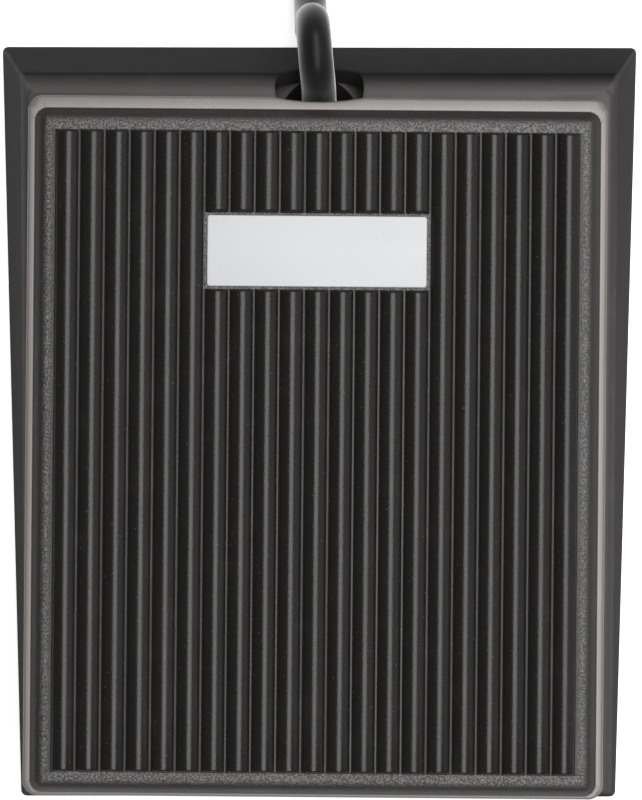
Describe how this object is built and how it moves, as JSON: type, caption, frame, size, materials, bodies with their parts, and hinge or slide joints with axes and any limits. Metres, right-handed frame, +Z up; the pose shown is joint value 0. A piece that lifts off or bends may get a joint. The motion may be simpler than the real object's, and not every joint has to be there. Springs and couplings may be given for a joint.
{
  "type": "foot pedal switch",
  "caption": "Momentary foot pedal switch: ribbed treadle hinged at the rear on a wedge casing, return springs, microswitch, coiled cord with a 6.35 mm jack plug",
  "frame": {"origin": "on the floor at the middle of the casing's footprint, without the free cord and plug", "axes": "+X right, +Y towards the rear where the cord leaves, +Z up"},
  "size_m": [0.1461, 0.2315, 0.0362],
  "materials": {
    "casing_plastic": "moulded black plastic, fine matt texture",
    "treadle_plastic": "moulded black plastic, fine matt texture",
    "plate_steel": "black coated sheet steel",
    "screw_steel": "zinc plated",
    "pin_steel": "ground steel",
    "spring_steel": "drawn spring steel",
    "foot_rubber": "matt black rubber",
    "bush_rubber": "matt black rubber",
    "switch_plastic": "moulded phenolic",
    "button_plastic": "smooth acetal",
    "terminal_brass": "tinned brass",
    "cord_jacket": "smooth black PVC, half gloss",
    "core_red": "PVC insulation",
    "core_white": "PVC insulation",
    "tie_fabric": "woven hook and loop tape",
    "plug_moulding": "moulded black PVC",
    "plug_nickel": "bright nickel plate",
    "insulator_plastic": "black insulator ring",
    "label_aluminium": "satin silver, bare"
  },
  "bodies": {
    "root": {"base_housing": "casing_plastic", "bottom_plate": "plate_steel", "bottom_screws": "screw_steel", "rubber_feet": "foot_rubber", "stop_bumpers": "foot_rubber", "hinge_pin_right": "pin_steel", "hinge_pin_left": "pin_steel", "pin_clips": "pin_steel", "return_spring_right": "spring_steel", "return_spring_left": "spring_steel", "switch_bracket": "plate_steel", "bracket_screws": "screw_steel", "switch_case": "switch_plastic", "switch_terminals": "terminal_brass", "switch_screws": "screw_steel", "cord_bush": "bush_rubber", "cord_clamp": "switch_plastic", "clamp_screws": "screw_steel", "cord_tail": "cord_jacket", "signal_wire": "core_red", "ground_wire": "core_white", "cord": "cord_jacket", "cord_coil": "cord_jacket", "cord_end": "cord_jacket", "cord_tie": "tie_fabric", "plug_strain_relief": "plug_moulding", "plug_grip": "plug_moulding", "plug_sleeve": "plug_nickel", "plug_insulator": "insulator_plastic", "plug_tip": "plug_nickel"},
    "treadle": {"treadle_cover": "treadle_plastic", "label_plate": "label_aluminium"},
    "switch_lever": {"switch_lever": "spring_steel"},
    "switch_button": {"switch_button": "button_plastic"}
  },
  "joints": [
    {"name": "treadle_pivot", "type": "hinge", "parent": "root", "child": "treadle", "pos_m": [0, 0.0425, 0.0225], "axis": [1, 0, 0], "range_deg": [0, 3], "stiffness_Nm_per_rad": 3, "springref_deg": -8.59, "deforming": ["return_spring_right", "return_spring_left"]},
    {"name": "lever_pivot", "type": "hinge", "parent": "root", "child": "switch_lever", "pos_m": [0, 0.006, 0.0151], "axis": [1, 0, 0], "range_deg": [0, 10]},
    {"name": "button_slide", "type": "slide", "parent": "root", "child": "switch_button", "axis": [0, 0, -1], "range_m": [0, 0.0009]}
  ],
  "couplings": [
    {"joint": "lever_pivot", "follows": "treadle_pivot", "ratio": 3.3},
    {"joint": "button_slide", "follows": "treadle_pivot", "m_per_rad": 0.017}
  ]
}
